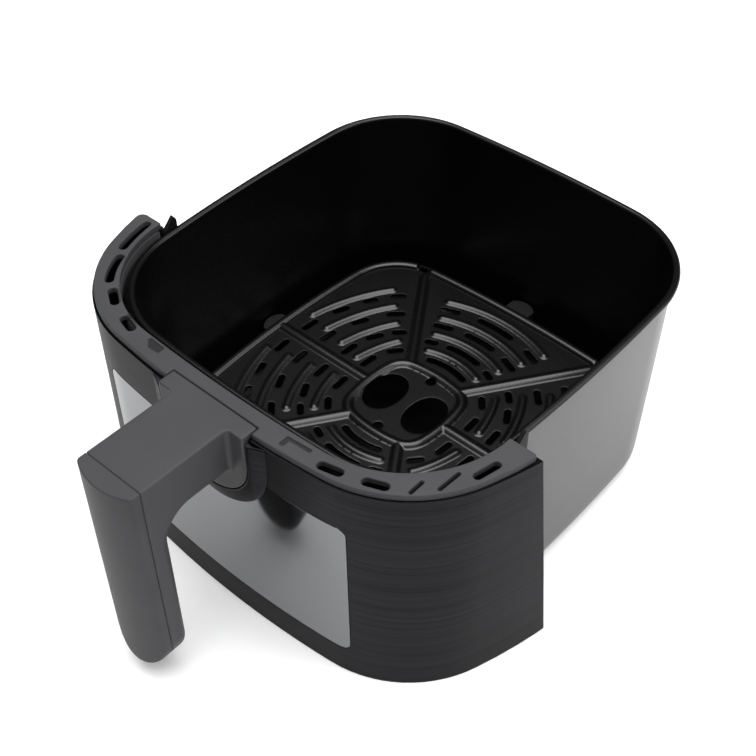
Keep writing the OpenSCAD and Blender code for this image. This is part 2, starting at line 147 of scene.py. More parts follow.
def baked_coat(name, colour, roughness, ripple=1.6, depth=0.01, ior=1.5):
    """Non-stick or enamel coat baked on drawn steel: smooth, with the ripple of a sprayed film.

    PTFE bends light less than enamel does, so its walls stay darker."""
    made, tree, output = start_material(name)
    where = add(tree, "ShaderNodeTexCoord", {}).outputs["Object"]
    film = add(
        tree,
        "ShaderNodeTexNoise",
        {"Vector": where, "Scale": 1 / (ripple * MM), "Detail": 2.0},
    )
    dust = add(
        tree,
        "ShaderNodeTexNoise",
        {"Vector": where, "Scale": 1 / (0.35 * MM), "Detail": 1.0},
    )
    cloud = add(tree, "ShaderNodeTexNoise", {"Vector": where, "Scale": 14.0, "Detail": 3.0})
    tone = add(tree, "ShaderNodeValToRGB", {"Fac": cloud.outputs["Fac"]})
    tone.color_ramp.elements[0].position = 0.3
    tone.color_ramp.elements[0].color = rgba([c * 0.9 for c in colour])
    tone.color_ramp.elements[1].position = 0.72
    tone.color_ramp.elements[1].color = rgba([c * 1.1 for c in colour])
    rough = add(
        tree,
        "ShaderNodeMapRange",
        {
            "Value": dust.outputs["Fac"],
            "From Min": 0.3,
            "From Max": 0.7,
            "To Min": roughness - 0.03,
            "To Max": roughness + 0.04,
        },
    )
    bump = add(
        tree,
        "ShaderNodeBump",
        {"Height": film.outputs["Fac"], "Distance": depth * MM, "Strength": 0.5},
    )
    skin = add(
        tree,
        "ShaderNodeBsdfPrincipled",
        {
            "Base Color": tone.outputs["Color"],
            "Roughness": rough.outputs["Result"],
            "Normal": bump.outputs["Normal"],
            "IOR": ior,
        },
    )
    tree.links.new(skin.outputs["BSDF"], output.inputs["Surface"])
    return made


def brushed_steel(name, dark, light, roughness, line=0.3, length=260.0, depth=0.005):
    """Stainless sheet brushed along the front: fine level lines that catch the light in streaks.

    line is the spacing of the lines up the sheet and length their run, in millimetres. Real lines
    are under 0.1 mm apart, so these are drawn as coarse as they need to be to show."""
    made, tree, output = start_material(name)
    where = add(tree, "ShaderNodeTexCoord", {}).outputs["Object"]
    along = 1 / (length * MM)
    stretched = add(
        tree, "ShaderNodeMapping", {"Vector": where, "Scale": (along, along, 1 / (line * MM))}
    ).outputs["Vector"]
    broad_scale = (along * 0.6, along * 0.6, 0.16 / (line * MM))
    broad = add(
        tree, "ShaderNodeMapping", {"Vector": where, "Scale": broad_scale}
    ).outputs["Vector"]
    fine = add(
        tree,
        "ShaderNodeTexNoise",
        {
            "Vector": stretched,
            "Scale": 1.0,
            "Detail": 4.0,
            "Roughness": 0.65,
        },
    )
    bands = add(tree, "ShaderNodeTexNoise", {"Vector": broad, "Scale": 1.0, "Detail": 2.0})
    both = add(
        tree,
        "ShaderNodeMath",
        {
            0: bands.outputs["Fac"],
            1: 0.35,
            2: fine.outputs["Fac"],
        },
        operation="MULTIPLY_ADD",
    )
    tone = add(
        tree,
        "ShaderNodeMapRange",
        {"Value": both.outputs["Value"], "From Min": 0.45, "From Max": 0.9},
    )
    shade = add(tree, "ShaderNodeValToRGB", {"Fac": tone.outputs["Result"]})
    shade.color_ramp.elements[0].color = rgba(dark)
    shade.color_ramp.elements[1].color = rgba(light)
    rough = add(
        tree,
        "ShaderNodeMapRange",
        {
            "Value": fine.outputs["Fac"],
            "From Min": 0.3,
            "From Max": 0.7,
            "To Min": roughness - 0.06,
            "To Max": roughness + 0.08,
        },
    )
    bump = add(
        tree,
        "ShaderNodeBump",
        {"Height": fine.outputs["Fac"], "Distance": depth * MM, "Strength": 0.5},
    )
    level = add(tree, "ShaderNodeTangent", {}, direction_type="RADIAL", axis="Z").outputs["Tangent"]
    skin = add(
        tree,
        "ShaderNodeBsdfPrincipled",
        {
            "Base Color": shade.outputs["Color"],
            "Metallic": 1.0,
            "Roughness": rough.outputs["Result"],
            "Normal": bump.outputs["Normal"],
            "Anisotropic": 0.75,
            "Anisotropic Rotation": 0.25,
            "Tangent": level,
        },
    )
    tree.links.new(skin.outputs["BSDF"], output.inputs["Surface"])
    return made


def satin_aluminium(name, colour, roughness):
    """Bead-blasted, anodised aluminium: pale, even, with a soft blurred reflection."""
    made, tree, output = start_material(name)
    where = add(tree, "ShaderNodeTexCoord", {}).outputs["Object"]
    blast = add(
        tree,
        "ShaderNodeTexNoise",
        {"Vector": where, "Scale": 1 / (0.5 * MM), "Detail": 2.0},
    )
    cloud = add(tree, "ShaderNodeTexNoise", {"Vector": where, "Scale": 20.0, "Detail": 2.0})
    tone = add(tree, "ShaderNodeValToRGB", {"Fac": cloud.outputs["Fac"]})
    tone.color_ramp.elements[0].color = rgba([c * 0.96 for c in colour])
    tone.color_ramp.elements[1].color = rgba([c * 1.04 for c in colour])
    rough = add(
        tree,
        "ShaderNodeMapRange",
        {
            "Value": blast.outputs["Fac"],
            "From Min": 0.3,
            "From Max": 0.7,
            "To Min": roughness - 0.02,
            "To Max": roughness + 0.03,
        },
    )
    bump = add(
        tree,
        "ShaderNodeBump",
        {"Height": blast.outputs["Fac"], "Distance": 0.004 * MM, "Strength": 0.4},
    )
    skin = add(
        tree,
        "ShaderNodeBsdfPrincipled",
        {
            "Base Color": tone.outputs["Color"],
            "Metallic": 1.0,
            "Roughness": rough.outputs["Result"],
            "Normal": bump.outputs["Normal"],
        },
    )
    tree.links.new(skin.outputs["BSDF"], output.inputs["Surface"])
    return made


def silicone_rubber(name, colour):
    """Moulded silicone: soft, matte and slightly dusty."""
    made, tree, output = start_material(name)
    where = add(tree, "ShaderNodeTexCoord", {}).outputs["Object"]
    dust = add(
        tree,
        "ShaderNodeTexNoise",
        {"Vector": where, "Scale": 1 / (0.6 * MM), "Detail": 2.0},
    )
    tone = add(tree, "ShaderNodeValToRGB", {"Fac": dust.outputs["Fac"]})
    tone.color_ramp.elements[0].color = rgba([c * 0.85 for c in colour])
    tone.color_ramp.elements[1].color = rgba([c * 1.2 for c in colour])
    bump = add(
        tree,
        "ShaderNodeBump",
        {"Height": dust.outputs["Fac"], "Distance": 0.01 * MM, "Strength": 0.5},
    )
    skin = add(
        tree,
        "ShaderNodeBsdfPrincipled",
        {
            "Base Color": tone.outputs["Color"],
            "Roughness": 0.62,
            "Normal": bump.outputs["Normal"],
            "IOR": 1.41,
        },
    )
    tree.links.new(skin.outputs["BSDF"], output.inputs["Surface"])
    return made


# ---- outlines ----


class Bowed:
    """A rounded rectangle whose sides bow out.

    It has half sizes, bow radii at side and front, and a corner radius, all in millimetres.
    An inset shrinks the half sizes and every radius by the same amount."""

    def __init__(self, half_w, half_d, side_bow, front_bow, corner, shift=0.0):
        self.half_w, self.half_d = half_w, half_d
        self.side_bow, self.front_bow, self.corner, self.shift = side_bow, front_bow, corner, shift
        p, q = half_w - side_bow, half_d - front_bow
        d = math.hypot(p, q)
        r1, r2 = side_bow - corner, front_bow - corner
        m = (r1 * r1 - r2 * r2 + d * d) / (2 * d)
        h = math.sqrt(r1 * r1 - m * m)
        self.cx = p - m * p / d - h * q / d
        self.cy = m * q / d - h * p / d
        self.turn1 = math.atan2(self.cy, self.cx - p)
        self.turn2 = math.atan2(self.cy - q, self.cx)

    def ring(self, inset, k):
        """Points once round the outline, anticlockwise from +X, 60 k of them."""

        def arc(cx, cy, r, a0, a1, n):
            a = a0 + (a1 - a0) * np.arange(n) / n
            return np.stack([cx + r * np.cos(a), cy + r * np.sin(a)], 1)

        centre_y = self.half_d - self.front_bow
        q = np.concatenate(
            [
                arc(self.half_w - self.side_bow, 0, self.side_bow - inset, 0, self.turn1, 4 * k),
                arc(self.cx, self.cy, self.corner - inset, self.turn1, self.turn2, 7 * k),
                arc(0, centre_y, self.front_bow - inset, self.turn2, math.pi / 2, 4 * k),
                [[0, self.half_d - inset]],
            ]
        )
        upper = np.concatenate([q, q[-2::-1] * (-1, 1)])
        lower = upper[-2:0:-1] * (1, -1)
        return np.concatenate([upper, lower]) + (0, self.shift)

    def inset(self, x, y):
        """How far each point lies inside the outline."""
        x, y = np.abs(x), np.abs(np.asarray(y) - self.shift)
        side = self.side_bow - np.hypot(x - self.half_w + self.side_bow, y)
        front = self.front_bow - np.hypot(x, y - self.half_d + self.front_bow)
        turn = np.arctan2(y - self.cy, x - self.cx)
        round_part = self.corner - np.hypot(x - self.cx, y - self.cy)
        inside = (turn >= self.turn1) & (turn <= self.turn2)
        return np.where(inside, round_part, np.minimum(side, front))


FRONT = Bowed(145.8, 152.8, 309, 597, 70.5, 10.4)
INNER = Bowed(120.9, 128.1, 1090, 1030, 62)


# ---- meshes ----


def make_piece(name, points, faces, materials, index=None, smooth=True):
    """A mesh object from points in millimetres."""
    mesh = bpy.data.meshes.new(name)
    mesh.from_pydata((np.asarray(points, float) * MM).tolist(), [], faces)
    for m in materials:
        mesh.materials.append(m)
    if index is not None:
        mesh.polygons.foreach_set("material_index", index)
    mesh.polygons.foreach_set("use_smooth", [smooth] * len(mesh.polygons))
    mesh.update()
    made = bpy.data.objects.new(name, mesh)
    bpy.context.scene.collection.objects.link(made)
    return made


def loft_faces(rows, n, closed=False):
    """Quads between rows of n points each, every row a closed ring. Normals point to the right of
    the way that the rows go, seen along the ring."""
    faces = []
    last = rows if closed else rows - 1
    for j in range(last):
        a, b = j * n, ((j + 1) % rows) * n
        for i in range(n):
            k = (i + 1) % n
            faces.append((a + i, a + k, b + k, b + i))
    return faces


def cut(a, b, r):
    """Where two solids overlap, as distance fields, with the edge rounded to radius r."""
    return np.minimum(-r, np.maximum(a, b)) + np.hypot(np.maximum(a + r, 0), np.maximum(b + r, 0))


def join(a, b, r):
    """Two solids as one, as distance fields, with a fillet of radius r in the corner."""
    return np.maximum(r, np.minimum(a, b)) - np.hypot(np.maximum(r - a, 0), np.maximum(r - b, 0))


def shell(field, low, high, step):
    """Points and quads on the surface where field(x, y, z) is 0. The field is negative inside."""
    axes = [np.arange(a - 2 * step, b + 3 * step, step) for a, b in zip(low, high)]
    grid = np.stack(np.meshgrid(*axes, indexing="ij"), -1)
    f = field(grid[..., 0], grid[..., 1], grid[..., 2])
    size = np.array(f.shape) - 1
    total, count = np.zeros((*size, 3)), np.zeros(size, int)
    crossings = []
    for axis in range(3):
        near = [slice(None)] * 3
        far = [slice(None)] * 3
        near[axis], far[axis] = slice(0, -1), slice(1, None)
        a, b = f[tuple(near)], f[tuple(far)]
        met = (a < 0) != (b < 0)
        share = np.where(met, a / np.where(met, a - b, 1), 0)
        at = grid[tuple(near)].copy()
        at[..., axis] += share * step
        at *= met[..., None]
        u, v = [k for k in range(3) if k != axis]
        for du in (0, 1):
            for dv in (0, 1):
                part = [slice(None)] * 3
                part[u], part[v] = slice(du, size[u] + du), slice(dv, size[v] + dv)
                total += at[tuple(part)]
                count += met[tuple(part)]
        crossings.append((axis, u, v, met, a < 0))
    used = count > 0
    number = np.full(used.shape, -1)
    number[used] = np.arange(used.sum())
    points = total[used] / count[used][:, None]
    for _ in range(2):
        e = 0.05
        x, y, z = points.T
        value = field(x, y, z)
        slope = np.stack(
            [field(x + e, y, z) - value, field(x, y + e, z) - value, field(x, y, z + e) - value], 1
        ) / e
        step_back = slope * (value / np.maximum((slope**2).sum(1), 0.2))[:, None]
        points = points - np.clip(step_back, -0.4 * step, 0.4 * step)
    quads = []
    for axis, u, v, met, starts_in in crossings:
        where = np.argwhere(met)
        along, across = where[:, u], where[:, v]
        where = where[(along > 0) & (across > 0) & (along < size[u]) & (across < size[v])]
        outward = starts_in[tuple(where.T)]
        corners = []
        for du, dv in ((1, 1), (0, 1), (0, 0), (1, 0)):
            c = where.copy()
            c[:, u] -= du
            c[:, v] -= dv
            corners.append(number[tuple(c.T)])
        quad = np.stack(corners, 1)
        if axis == 1:
            outward = ~outward
        quads.append(np.where(outward[:, None], quad, quad[:, ::-1]))
    return points, np.concatenate(quads).tolist()


def rounded(corners, steps=5):
    """A polygon from (x, y, radius) corners, with an arc at each corner that has a radius."""
    made = []
    for i, (x, y, r) in enumerate(corners):
        here = Vector((x, y))
        if not r:
            made.append((x, y))
            continue
        before = Vector(corners[i - 1][:2]) - here
        after = Vector(corners[(i + 1) % len(corners)][:2]) - here
        half = before.angle(after) / 2
        reach = r / math.tan(half)
        a, b = here + before.normalized() * reach, here + after.normalized() * reach
        inward = (before.normalized() + after.normalized()).normalized()
        middle = here + inward * (r / math.sin(half))
        for t in np.linspace(0, 1, steps + 1):
            out = (a - middle).lerp(b - middle, t).normalized() * r
            made.append(tuple(middle + out))
    return made


def pill(a, b, width, sag=0.0, steps=8):
    """Outline of a slot from tip a to tip b, its middle pushed sideways by sag."""
    a, b = Vector(a), Vector(b)
    along = (b - a).normalized()
    side = Vector((-along.y, along.x))
    r = width / 2
    start, end = a + along * r, b - along * r

    def middle(t):
        return start.lerp(end, t) + side * (4 * sag * t * (1 - t))

    def heading(t):
        return ((end - start) + side * (4 * sag * (1 - 2 * t))).normalized()

    left, right = [], []
    for t in np.linspace(0, 1, steps):
        h = heading(t)
        n = Vector((-h.y, h.x)) * r
        left.append(tuple(middle(t) + n))
        right.append(tuple(middle(t) - n))

    def cap(centre, first):
        turn = math.atan2(first.y, first.x)
        angles = turn - np.linspace(0, math.pi, 9)[1:-1]
        return [tuple(centre + Vector((math.cos(q), math.sin(q))) * r) for q in angles]

    h0, h1 = heading(0), heading(1)
    n0, n1 = Vector((-h0.y, h0.x)), Vector((-h1.y, h1.x))
    return left + cap(end, n1) + right[::-1] + cap(start, -n0)


def slab(outlines, z0, z1, edge, resolution=2):
    """A flat plate with holes and rounded edges, as a mesh. The first outline is the outer one."""
    flat = bpy.data.curves.new("slab", "CURVE")
    flat.dimensions = "2D"
    flat.fill_mode = "BOTH"
    flat.bevel_depth = edge * MM
    flat.bevel_resolution = resolution
    flat.extrude = ((z1 - z0) / 2 - edge) * MM
    flat.offset = -edge * MM
    for outline in outlines:
        line = flat.splines.new("POLY")
        line.points.add(len(outline) - 1)
        for point, (x, y) in zip(line.points, outline):
            point.co = (x * MM, y * MM, 0, 1)
        line.use_cyclic_u = True
    holder = bpy.data.objects.new("slab", flat)
    holder.location.z = (z0 + z1) / 2 * MM
    bpy.context.scene.collection.objects.link(holder)
    bpy.context.view_layer.update()
    solid = holder.evaluated_get(bpy.context.evaluated_depsgraph_get())
    mesh = bpy.data.meshes.new_from_object(solid)
    mesh.transform(holder.matrix_world)
    bpy.data.objects.remove(holder)
    return mesh


def merge(name, meshes, materials, second=()):
    """One object from several meshes, welded, with its flat faces kept flat.

    The meshes in second get the second material."""
    whole = bmesh.new()
    for index, group in enumerate((meshes, second)):
        for mesh in group:
            done = len(whole.faces)
            whole.from_mesh(mesh)
            whole.faces.ensure_lookup_table()
            for face in whole.faces[done:]:
                face.material_index = index
    bmesh.ops.remove_doubles(whole, verts=whole.verts, dist=0.002 * MM)
    bmesh.ops.recalc_face_normals(whole, faces=whole.faces)
    made = bpy.data.meshes.new(name)
    whole.to_mesh(made)
    whole.free()
    for m in materials:
        made.materials.append(m)
    made.polygons.foreach_set("use_smooth", [True] * len(made.polygons))
    piece = bpy.data.objects.new(name, made)
    bpy.context.scene.collection.objects.link(piece)
    shade = piece.modifiers.new("Shading", "WEIGHTED_NORMAL")
    shade.weight = 60
    shade.keep_sharp = False
    return piece


def ring_mesh(rows):
    """A mesh from rows of section points along an open path."""
    n = len(rows[0])
    points = np.concatenate(rows)
    faces = []
    for j in range(len(rows) - 1):
        for i in range(n):
            k = (i + 1) % n
            faces.append((j * n + i, j * n + k, (j + 1) * n + k, (j + 1) * n + i))
    faces.append(tuple(range(n - 1, -1, -1)))
    faces.append(tuple((len(rows) - 1) * n + i for i in range(n)))
    mesh = bpy.data.meshes.new("ring")
    mesh.from_pydata((np.asarray(points, float) * MM).tolist(), [], faces)
    return mesh


def finish_cad(name, material, bevel=0.4, segments=2, dissolve=True):
    """Rounds a CAD node's edges with modifiers and gives it its material."""
    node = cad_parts[name]
    node.data.materials.clear()
    node.data.materials.append(material)
    weld = node.modifiers.new("Weld", "WELD")
    weld.merge_threshold = 0.002 * MM
    if dissolve:
        flat = node.modifiers.new("Flat faces", "DECIMATE")
        flat.decimate_type = "DISSOLVE"
        flat.angle_limit = math.radians(0.4)
    if bevel:
        edge = node.modifiers.new("Edges", "BEVEL")
        edge.width = bevel * MM
        edge.segments = segments
        edge.limit_method = "ANGLE"
        edge.angle_limit = math.radians(32)
        edge.miter_outer = "MITER_ARC"
    shade = node.modifiers.new("Shading", "WEIGHTED_NORMAL")
    shade.weight = 60
    shade.keep_sharp = False
    return node


# ---- settings ----


class PanSettings(bpy.types.PropertyGroup):
    """Sizes of the pan"""

    wall: FloatProperty(
        name="Wall",
        description="Wall thickness with its coating",
        default=1.0 * MM,
        unit="LENGTH",
    )
    lean: FloatProperty(
        name="Lean",
        description="How far the wall leans in towards the floor",
        default=3.8 * MM,
        unit="LENGTH",
    )
    fillet: FloatProperty(
        name="Fillet",
        description="Outside radius between wall and floor",
        default=12 * MM,
        unit="LENGTH",
    )
    rim: FloatProperty(
        name="Rim",
        description="Width of the rolled rim",
        default=4.2 * MM,
        unit="LENGTH",
    )


class PlateSettings(bpy.types.PropertyGroup):
    """Sizes of the crisper plate"""

    sheet: FloatProperty(
        name="Sheet",
        description="Sheet thickness",
        default=1.5 * MM,
        unit="LENGTH",
    )
    bead: FloatProperty(
        name="Bead height",
        description="Height of the pressed ribs",
        default=2.4 * MM,
        unit="LENGTH",
    )
    slot: FloatProperty(
        name="Slot width",
        description="Width of the slots",
        default=4.2 * MM,
        unit="LENGTH",
    )
    grid: FloatProperty(
        name="Grid",
        description="Spacing of the sheet's mesh",
        default=0.7 * MM,
        unit="LENGTH",
    )


class FinishSettings(bpy.types.PropertyGroup):
    """Colours of the materials"""

    plastic: FloatVectorProperty(
        name="Plastic",
        description="Bezel and handle",
        subtype="COLOR",
        size=3,
        min=0,
        max=1,
        default=linear("#3F3F41"),
    )
    inner_plastic: FloatVectorProperty(
        name="Inner plastic",
        description="Frame behind the front",
        subtype="COLOR",
        size=3,
        min=0,
        max=1,
        default=linear("#141415"),
    )
    outside: FloatVectorProperty(
        name="Pan outside",
        description="Grey coat outside the pan",
        subtype="COLOR",
        size=3,
        min=0,
        max=1,
        default=linear("#2A2A2C"),
    )
    inside: FloatVectorProperty(
        name="Pan inside",
        description="Non-stick coat inside the pan",
        subtype="COLOR",
        size=3,
        min=0,
        max=1,
        default=linear("#040405"),
    )
    plate: FloatVectorProperty(
        name="Crisper plate",
        description="Non-stick coat on the plate",
        subtype="COLOR",
        size=3,
        min=0,
        max=1,
        default=linear("#070708"),
    )
    brushed_dark: FloatVectorProperty(
        name="Brushed, dark lines",
        description="Darkest lines of the front",
        subtype="COLOR",
        size=3,
        min=0,
        max=1,
        default=linear("#0C0C0D"),
    )
    brushed_light: FloatVectorProperty(
        name="Brushed, light lines",
        description="Lightest lines of the front",
        subtype="COLOR",
        size=3,
        min=0,
        max=1,
        default=linear("#2E2E31"),
    )
    silver: FloatVectorProperty(
        name="Silver",
        description="Accent plate",
        subtype="COLOR",
        size=3,
        min=0,
        max=1,
        default=linear("#6C6D6F"),
    )
    silicone: FloatVectorProperty(
        name="Silicone",
        description="Bumpers",
        subtype="COLOR",
        size=3,
        min=0,
        max=1,
        default=linear("#050506"),
    )


SETTINGS = {"fryer_pan": PanSettings, "fryer_plate": PlateSettings, "fryer_finish": FinishSettings}


# ---- pieces ----


class FRYER_OT_pan(bpy.types.Operator):
    """Builds the deep drawn pan with its rolled rim"""

    bl_idname = "fryer.pan"
    bl_label = "Pan"

    def execute(self, context):
        s, finish = context.scene.fryer_pan, context.scene.fryer_finish
        t, lean, f, rim = s.wall / MM, s.lean / MM, s.fillet / MM, s.rim / MM
        outline = Bowed(PAN_HIGH.x / MM, PAN_HIGH.y / MM, 1090, 1030, 60)
        high = PAN_HIGH.z / MM
        roll = rim / 2
        wall_out = rim - t
        foot_out = wall_out + lean

        def wall_at(z):
            return wall_out + lean * (1 - min(1.0, max(0.0, (z - f) / (high - 6 - f)))) ** 1.15

        profile = [(foot_out + f + 36, 0.0), (foot_out + f + 3, 0.0)]
        quarter = np.linspace(0, math.pi / 2, 10)
        profile += [(foot_out + f - f * math.sin(a), f - f * math.cos(a)) for a in quarter]
        profile += [(wall_at(z), z) for z in np.linspace(f + 6, high - 7, 9)]
        profile += [(wall_out, high - 5.4), (wall_out - 0.35, high - 4.7)]
        turns = np.linspace(-1.25, math.pi, 15)
        profile += [(roll - roll * math.cos(a), high - roll + roll * math.sin(a)) for a in turns]
        inner_from = len(profile) - len(turns)
        profile += [(rim + 0.15, high - 4.5)]
        profile += [(wall_at(z) + t, z) for z in np.linspace(high - 7, f + 6, 9)]
        g = f - t
        foot_in = foot_out + t + g
        profile += [(foot_in - g * math.sin(a), f - g * math.cos(a)) for a in quarter[::-1]]
        profile += [(foot_out + f + 3, t), (foot_out + f + 36, t)]
        k = 8
        n = 60 * k
        rows = [np.column_stack([outline.ring(e, k), np.full(n, z)]) for e, z in profile]
        points = np.concatenate(rows)
        faces = loft_faces(len(rows), n)
        index = [0 if j // n < inner_from else 1 for j in range(len(faces))]
        last = (len(rows) - 1) * n
        faces.append(tuple(range(n - 1, -1, -1)))
        faces.append(tuple(last + i for i in range(n)))
        index += [0, 1]
        coats = [
            baked_coat("Baked grey enamel on steel", finish.outside, 0.3, 2.2, 0.006),
            baked_coat("Black PTFE non-stick", finish.inside, 0.3, 1.4, 0.006, ior=1.36),
        ]
        piece = make_piece("pan_shell", points, faces, coats, index)
        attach(piece, "drawer")
        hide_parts("pan")
        return {"FINISHED"}


def dome(t):
    """A pressed rib's height across its width: 1 on the middle line, 0 at t = 1, round on top."""
    return np.clip(1 - t * t, 0, 1) ** 1.15


class Arc:
    """A rib or slot on an arc round the plate's centre, swelling by grow towards its end."""

    def __init__(self, r, a0, a1, half, height=0.0, grow=0.0, away=0.0):
        self.r, self.a0, self.a1, self.half, self.height = r, a0, a1, half, height
        self.grow, self.away = grow, away

    def distance(self, x, y):
        rho = np.hypot(x, y)
        mid, reach = (self.a0 + self.a1) / 2, (self.a1 - self.a0) / 2
        phi = (np.degrees(np.arctan2(y, x)) - mid + 180) % 360 - 180
        held = np.clip(phi, -reach, reach)
        far = (held + reach) / (2 * reach) if self.away > 0 else (reach - held) / (2 * reach)
        r = self.r + self.grow * far**1.6
        a = np.radians(held + mid)
        inside = np.abs(phi) <= reach
        ends = np.hypot(x - r * np.cos(a), y - r * np.sin(a))
        return np.where(inside, np.abs(rho - r), ends)


class Bar:
    """A straight rib or slot from one point to another."""

    def __init__(self, a, b, half, height=0.0):
        self.a, self.b = np.array(a, float), np.array(b, float)
        self.half, self.height = half, height

    def distance(self, x, y):
        along = self.b - self.a
        size = np.hypot(*along)
        u = ((x - self.a[0]) * along[0] + (y - self.a[1]) * along[1]) / size
        v = ((y - self.a[1]) * along[0] - (x - self.a[0]) * along[1]) / size
        return np.hypot(u - np.clip(u, 0, size), v)


def spoke(angle, r0, r1, half, height):
    c, s = math.cos(math.radians(angle)), math.sin(math.radians(angle))
    return Bar((r0 * c, r0 * s), (r1 * c, r1 * s), half, height)


def around(r, angle, length, half):
    """A straight slot set across the radius at an angle."""
    a = math.radians(angle)
    c, s = math.cos(a), math.sin(a)
    e = length / 2 - half
    return Bar((r * c + e * s, r * s - e * c), (r * c - e * s, r * s + e * c), half)


# Directions of the slanted ribs, in degrees.
SLANTED = (55.5, 124.5, 235.5, 304.5)


END_RIBS, SIDE_RIBS, RIB_HALF = (46.3, 61.3, 76.7, 92.3), (48, 64, 80, 95.5), 2.8
# Slots on the middle line at the front and rear: radius and half length.
END_SLOTS = ((39.2, 15.0), (54.3, 12.6), (69.5, 11.2), (85.0, 13.5))
# Slots beside them: radius, degrees off the middle line and length.
END_SIDE_SLOTS = ((54.2, 23.7, 8.6), (69.6, 21.2, 13.0), (84.9, 21.5, 13.0))
# Slots next to the level ribs: distance from the middle.
NEAR_SLOTS = (40.0, 55.6, 73.1, 88.5)
# Slots at the sides: radius, degrees from the level rib and length.
SIDE_SLOTS = (
    (44.6, 41.4, 10.5), (59.6, 31.0, 11.5), (75.6, 27.5, 11.5), (90.4, 22.8, 11.5),
    (60.6, 45.8, 9.5), (77.4, 44.8, 12), (92.4, 35.5, 10), (94.0, 46.5, 10),
)


def plate_features(slot_half, bead):
    """Ribs and slots of the whole plate."""
    ribs, slots = [], []
    for a, r1 in ((0, 100), (180, 100)):
        ribs.append(spoke(a, 31, r1, 3.6, bead * 0.9))
    for a in SLANTED:
        ribs.append(spoke(a, 34, 113, 3.6, bead * 0.9))
    for m in (90, 270):
        for r in END_RIBS:
            ribs.append(Arc(r, m - 23.5, m + 23.5, RIB_HALF, bead * 0.7))
        for r, e in END_SLOTS:
            reach = math.degrees((e - slot_half) / r)
            slots.append(Arc(r, m - reach, m + reach, slot_half))
        for r, off, e in END_SIDE_SLOTS:
            for k in (-1, 1):
                slots.append(around(r, m + k * off, e, slot_half))
    for sx in (0, 1):
        for sy in (-1, 1):
            for r in SIDE_RIBS:
                low, high = 12.0, 44.5
                a0, a1 = (low, high) if sy > 0 else (-high, -low)
                if sx:
                    a0, a1 = (180 - a1, 180 - a0)
                away = 1 if (sy > 0) != bool(sx) else -1
                ribs.append(Arc(r, a0, a1, RIB_HALF, bead * 0.7, grow=4.6, away=away))
            flip = -1 if sx else 1
            for px in NEAR_SLOTS:
                slots.append(Bar((flip * px, sy * 8.2), (flip * (px - 0.6), sy * 16.4), slot_half))
            for r, a, e in SIDE_SLOTS:
                angle = sy * a if not sx else 180 - sy * a
                slots.append(around(r, angle, e, slot_half))
    return ribs, slots


def thicken(points, faces, depth):
    """Points and faces of the plate that lies under an open surface, with walls round its edges."""
    n = len(points)
    edges = {(face[i - 1], face[i]) for face in faces for i in range(len(face))}
    under = [tuple(i + n for i in reversed(face)) for face in faces]
    walls = [(b, a, a + n, b + n) for a, b in edges if (b, a) not in edges]
    return np.concatenate([points, points - (0, 0, depth)]), faces + under + walls


